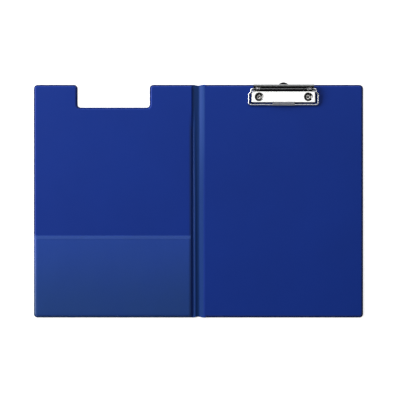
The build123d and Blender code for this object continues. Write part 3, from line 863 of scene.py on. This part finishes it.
# %% Pressed sheet pieces
def pressed_copy(name, node, body, material, edge):
    piece = own_copy(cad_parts[node], name)
    piece.data.materials.clear()
    bpy.ops.object.mode_set(mode="EDIT")
    bpy.ops.mesh.select_all(action="SELECT")
    bpy.ops.mesh.remove_doubles(threshold=0.001 * MM)
    bpy.ops.mesh.dissolve_limited(angle_limit=radians(0.5))
    bpy.ops.object.mode_set(mode="OBJECT")
    modifier(piece, "BEVEL", width=edge, segments=2, limit_method="ANGLE", angle_limit=radians(35),
             use_clamp_overlap=True)
    finish_piece(piece, body, [node], (material,), 35)
    modifier(piece, "WEIGHTED_NORMAL", keep_sharp=True)


pressed_copy("clip_plate", "clip_base", "back_panel", nickel, 0.12 * MM)
pressed_copy("bail_grip", "finger_grip", "bail", grip_steel, 0.08 * MM)
pressed_copy("pull_out_hanger", "hanger_tab", "hanger", black_steel, 0.12 * MM)

# %% [markdown]
# A tubular rivet is turned round, so it is one outline spun about its axis: a low domed head at the back,
# the shank, and a front end that was rolled over in the dish. One is modelled, and the other is a copy
# with its own mesh.

# %% Rivets
def rivet_outline():
    """Radius and height of the rivet, from the back head's middle to the bore's floor."""
    outline = [(0, 0.02), (2.6, 0.02), (3.6, 0.14), (4.25, 0.36), (4.5, 0.58), (4.46, 0.6), (2.0, 0.6)]
    outline += [(2.0, 3.55), (2.1, 3.61), (3.1, 3.61)]
    for k in range(9):
        angle = -0.35 + (pi + 0.35) * k / 8
        outline.append((2.3 + 1.2 * cos(angle), 3.95 + 0.74 * sin(angle)))
    return outline + [(1.1, 3.5), (1.1, 1.4), (0.9, 1.3), (0, 1.3)]


def spun_rivet(name, x):
    points = [(x + r * MM, RIVET_Y, z * MM) for r, z in rivet_outline()]
    piece = start_point(name, points[0])
    extrude_along(points)
    bpy.ops.mesh.select_all(action="SELECT")
    bpy.ops.mesh.spin(steps=48, angle=2 * pi, center=(x, RIVET_Y, 0), axis=(0, 0, 1))
    bpy.ops.mesh.select_all(action="SELECT")
    bpy.ops.mesh.remove_doubles(threshold=0.002 * MM)
    bpy.ops.mesh.normals_make_consistent(inside=False)
    bpy.ops.object.mode_set(mode="OBJECT")
    return piece


left_rivet = spun_rivet("rolled_rivet_left", RIVETS_X[0])
right_rivet = own_copy(left_rivet, "rolled_rivet_right")
right_rivet.location.x = RIVETS_X[1] - RIVETS_X[0]
for piece, node in ((left_rivet, "rivet_left"), (right_rivet, "rivet_right")):
    finish_piece(piece, "back_panel", [node], (rivet_steel,), 40)

# %% [markdown]
# Wire is bent from a straight length. Its line is drawn by extruding one vertex from corner to corner,
# the corners are rounded by bevelling those vertices, and the line becomes a curve with a round section.

# %% Helpers for wire
def round_corner(place, radius, turn):
    pick("VERT", lambda m, _: (m - Vector(place)).length < 0.01 * MM)
    bpy.ops.mesh.bevel(offset=radius * tan(turn / 2), segments=6, affect="VERTICES", profile=0.5)


def wire_from_line(piece, radius, sides):
    """Turns the piece's line into a round wire with closed ends."""
    bpy.ops.object.mode_set(mode="OBJECT")
    bpy.ops.object.convert(target="CURVE")
    line = bpy.context.object.data
    line.bevel_depth = radius
    line.bevel_resolution = sides
    line.use_fill_caps = True
    bpy.ops.object.convert(target="MESH")
    bpy.ops.object.mode_set(mode="EDIT")
    bpy.ops.mesh.select_all(action="SELECT")
    bpy.ops.mesh.remove_doubles(threshold=0.002 * MM)
    bpy.ops.mesh.normals_make_consistent(inside=False)
    bpy.ops.object.mode_set(mode="OBJECT")


def bent_line(name, corners):
    """A line through (place, bend radius) corners, with its inner corners rounded."""
    points = [Vector(p) for p, _ in corners]
    piece = start_point(name, points[0])
    extrude_along(points)
    for k in range(1, len(corners) - 1):
        before = points[k] - points[k - 1]
        after = points[k + 1] - points[k]
        if corners[k][1]:
            round_corner(points[k], corners[k][1] * MM, before.angle(after))
    return piece


print("wire helpers are ready")

# %% [markdown]
# The bail is one wire: it starts at the grip, goes round a front corner and up the side, steps in beside
# the ear, runs through both ears as the rod, and comes back the same way on the other side. So the corners
# of one half are written down, each with its bend radius, and the other half mirrors them.

# %% Wire bail
WIRE = 1.0 * MM
BAIL_REACH = 21.2 * MM
BAIL_DROP = 2.5 * MM
TILT = atan2(BAIL_DROP, BAIL_REACH)
BAIL_SIDE = 47.3
ROD_END = 44.3
STEP_IN = (4.4, 7.0)
WIRE_END = 0.15


def on_bail(x, reach):
    """A point of the bail's plane, x from the clip's middle and reach from the rod."""
    return (CLIP_X + x * MM, ROD.y - reach * MM * cos(TILT), ROD.z - reach * MM * sin(TILT))


bail_length = hypot(BAIL_REACH, BAIL_DROP) / MM
half_bail = [((WIRE_END, bail_length), 0), ((BAIL_SIDE, bail_length), 2.4), ((BAIL_SIDE, STEP_IN[1]), 2.0),
             ((ROD_END, STEP_IN[0]), 2.0), ((ROD_END, 0), 2.0)]
corners = [(on_bail(-x, reach), r) for (x, reach), r in half_bail]
corners += [(on_bail(x, reach), r) for (x, reach), r in reversed(half_bail)]
bail = bent_line("bail_wire", corners)
wire_from_line(bail, WIRE, 6)
finish_piece(bail, "bail", ["wire_bail"], (wire_steel,), 60)

# %% [markdown]
# Each torsion spring sits round the rod: one leg lies on the trough's floor, then the coils, then an arm
# that hooks over the bail's leg. When the bail opens, the arm goes with it and the coils wind tighter.
# So the piece is blended along the rod, from the clip's base to the bail. The left one is a mirrored
# The left one is a mirrored copy. A mirror turns a mesh inside out, so its normals are recalculated.

# %% Torsion springs
COIL_RADIUS = 2.1 * MM
COIL_START = 32.2 * MM
COIL_PITCH = 1.4 * MM
COIL_STEPS = 14
COIL_TURNS = 4
EXIT_ANGLE = 77
FOOT = 4.2 * MM
ARM_GAP = 0.55 * MM
ARM_LEAN = 0.23
ARM_END = 45.1 * MM
ARM_BEND = 0.9 * MM
SPRING_WIRE = 0.4 * MM


def coil_point(angle):
    """A point of the coil after it has turned by angle from its lowest place."""
    return Vector((
        CLIP_X + COIL_START + COIL_PITCH * angle / (2 * pi),
        ROD.y - COIL_RADIUS * sin(angle),
        ROD.z - COIL_RADIUS * cos(angle),
    ))


def spring(name):
    """The right spring: foot, coils, and the arm that goes up and over the bail's leg."""
    end = 2 * pi * COIL_TURNS + radians(EXIT_ANGLE)
    steps = COIL_STEPS * COIL_TURNS + 3
    coils = [coil_point(end * k / steps) for k in range(steps + 1)]
    foot = coils[0] + Vector((0, FOOT, 0))
    top = on_bail(0, (ROD.y - coils[-1].y) / MM)[2] + WIRE + ARM_GAP
    arm_y = coils[-1].y - (top - coils[-1].z) * ARM_LEAN
    bend = Vector((coils[-1].x + 0.2 * MM, arm_y, top))
    piece = start_point(name, foot)
    extrude_along([foot, *coils, bend, (CLIP_X + ARM_END, arm_y, top)])
    round_corner(bend, ARM_BEND, pi / 2)
    wire_from_line(piece, SPRING_WIRE, 4)
    return piece


right_spring = spring("coil_spring_right")
left_spring = own_copy(right_spring, "coil_spring_left")
left_spring.scale.x = -1
left_spring.location.x = 2 * CLIP_X
bpy.ops.object.transform_apply(location=True, rotation=True, scale=True)
bpy.ops.object.mode_set(mode="EDIT")
bpy.ops.mesh.select_all(action="SELECT")
bpy.ops.mesh.normals_make_consistent(inside=False)
for piece, node, side in ((left_spring, "spring_left", -1), (right_spring, "spring_right", 1)):
    finish_piece(piece, None, [node], (spring_steel,), 60)
    CLIP_X + side * 32.4 * MM
    CLIP_X + side * 37.6 * MM
    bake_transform(piece)

# %% [markdown]
# The remaining solids are right as they are: the two boards and the outer sheets. They keep their shape
# and only get their finish.

# %% Finishes for the solids that stay
for node, finish in (
    ("back_outer_skin", outer_pvc), ("spine_outer_skin", outer_pvc), ("cover_outer_skin", outer_cover_pvc),
    ("back_board", greyboard), ("cover_board", greyboard),
):
    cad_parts[node].data.materials.clear()
    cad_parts[node].data.materials.append(finish)
print("finished the boards and the outer sheets")

# %% [markdown]
# The floor is plain and pale. To the camera, and in the metal's reflections, it glows just enough to look
# white, but its own diffuse colour still takes the folder's shadow.

# %% Floor
clear_selection()
bpy.ops.mesh.primitive_plane_add(size=12, location=(0, 0, -0.02 * MM))
floor = bpy.context.object
floor.name = "floor"
paper = Finish("white floor")
ray = paper.add("LightPath").socket.node
seen = Signal(paper.tree, ray.outputs["Is Camera Ray"]) + Signal(paper.tree, ray.outputs["Is Glossy Ray"])
mottle = paper.blend(paper.noise(40.0, 3.0), (0.79, 0.79, 0.79), (0.81, 0.81, 0.81))
paper.surface(
    Base_Color=mottle, Roughness=0.8, Specular_IOR_Level=0.0,
    Emission_Color=paper.blend(seen, (0.0, 0.0, 0.0), (0.6, 0.6, 0.6)), Emission_Strength=1.0,
)
floor.data.materials.append(paper.material)
print("floor laid")

# %% [markdown]
# Metal shows the room that it stands in. This one is dark with a paler ceiling and front wall, and that is
# what the dishes, the trough and the wire reflect. Only the camera sees it white.

# %% Room
world = bpy.data.worlds.new("studio")
bpy.context.scene.world = world
world.use_nodes = True
room = Finish("studio", world.node_tree)
direction = room.add("TexCoord", output="Generated")
split = room.add("SeparateXYZ", sockets={"Vector": direction}).socket.node
up = Signal(room.tree, split.outputs["Z"])
greys = [(0.0, 0.02), (0.5, 0.05), (0.8, 0.12), (1.0, 0.22)]
ramp = room.add("ValToRGB", {"stops": [(place, (grey, grey, grey)) for place, grey in greys]}, {"Fac": up})
backdrop = world.node_tree.nodes["Background"]
front = (0.0 - Signal(room.tree, split.outputs["Y"])) > 0.75
walls = room.blend(front * 0.3, ramp, (0.8, 0.8, 0.8))
seen = Signal(room.tree, room.add("LightPath").socket.node.outputs["Is Camera Ray"])
room.feed(backdrop.inputs["Color"], room.blend(seen, walls, (0.9, 0.9, 0.9)))
backdrop.inputs["Strength"].default_value = 1.0
print("room made")

# %% [markdown]
# The key light comes low from the left, so slopes that face left are bright and others fall into shade. A
# wide fill softens that from behind the clip. A small lamp stands where the flat plate mirrors it to the
# camera, which makes the plate white.

# %% Lamps
def soft_light(name, place, aim, size, watts):
    bpy.ops.object.select_all(action="DESELECT")
    bpy.ops.object.light_add(type="AREA", location=place)
    lamp = bpy.context.object
    lamp.name = name
    lamp.data.shape = "RECTANGLE"
    lamp.data.size, lamp.data.size_y = size
    lamp.data.energy = watts
    lamp.rotation_euler = (Vector(aim) - Vector(place)).to_track_quat("-Z", "Y").to_euler()


soft_light("key", (-1.9, 0.66, 0.85), (0.0, 0.03, 0), (2.8, 0.8), 97)
soft_light("fill", (0.3, 1.2, 0.8), (0.1, 0.05, 0), (1.2, 0.7), 9)
soft_light("clip_box", (0.231, 0.08, 1.3), (0.116, 0.142, 0), (0.34, 0.28), 0.38)
print("three lamps lit")

# %% [markdown]
# The camera looks straight down. Its distance and lens give the photograph's scale, 546 mm across the
# frame at the deck's height, and its place is the photograph's middle on the folder.

# %% Camera
FRAME_WIDTH = 546 * MM
PHOTO_MIDDLE = (2.1 * MM, 1.6 * MM)
LENS = 85
SENSOR = 36
distance = FRAME_WIDTH / 2 * LENS / (SENSOR / 2)
bpy.ops.object.camera_add(location=(*PHOTO_MIDDLE, DECK + distance), rotation=(0, 0, 0))
camera = bpy.context.object
camera.data.lens = LENS
camera.data.sensor_width = SENSOR
camera.data.clip_end = 50
bpy.context.scene.camera = camera
bpy.context.scene.view_settings.view_transform = "Standard"
print("camera", round(distance, 3), "m above the deck")
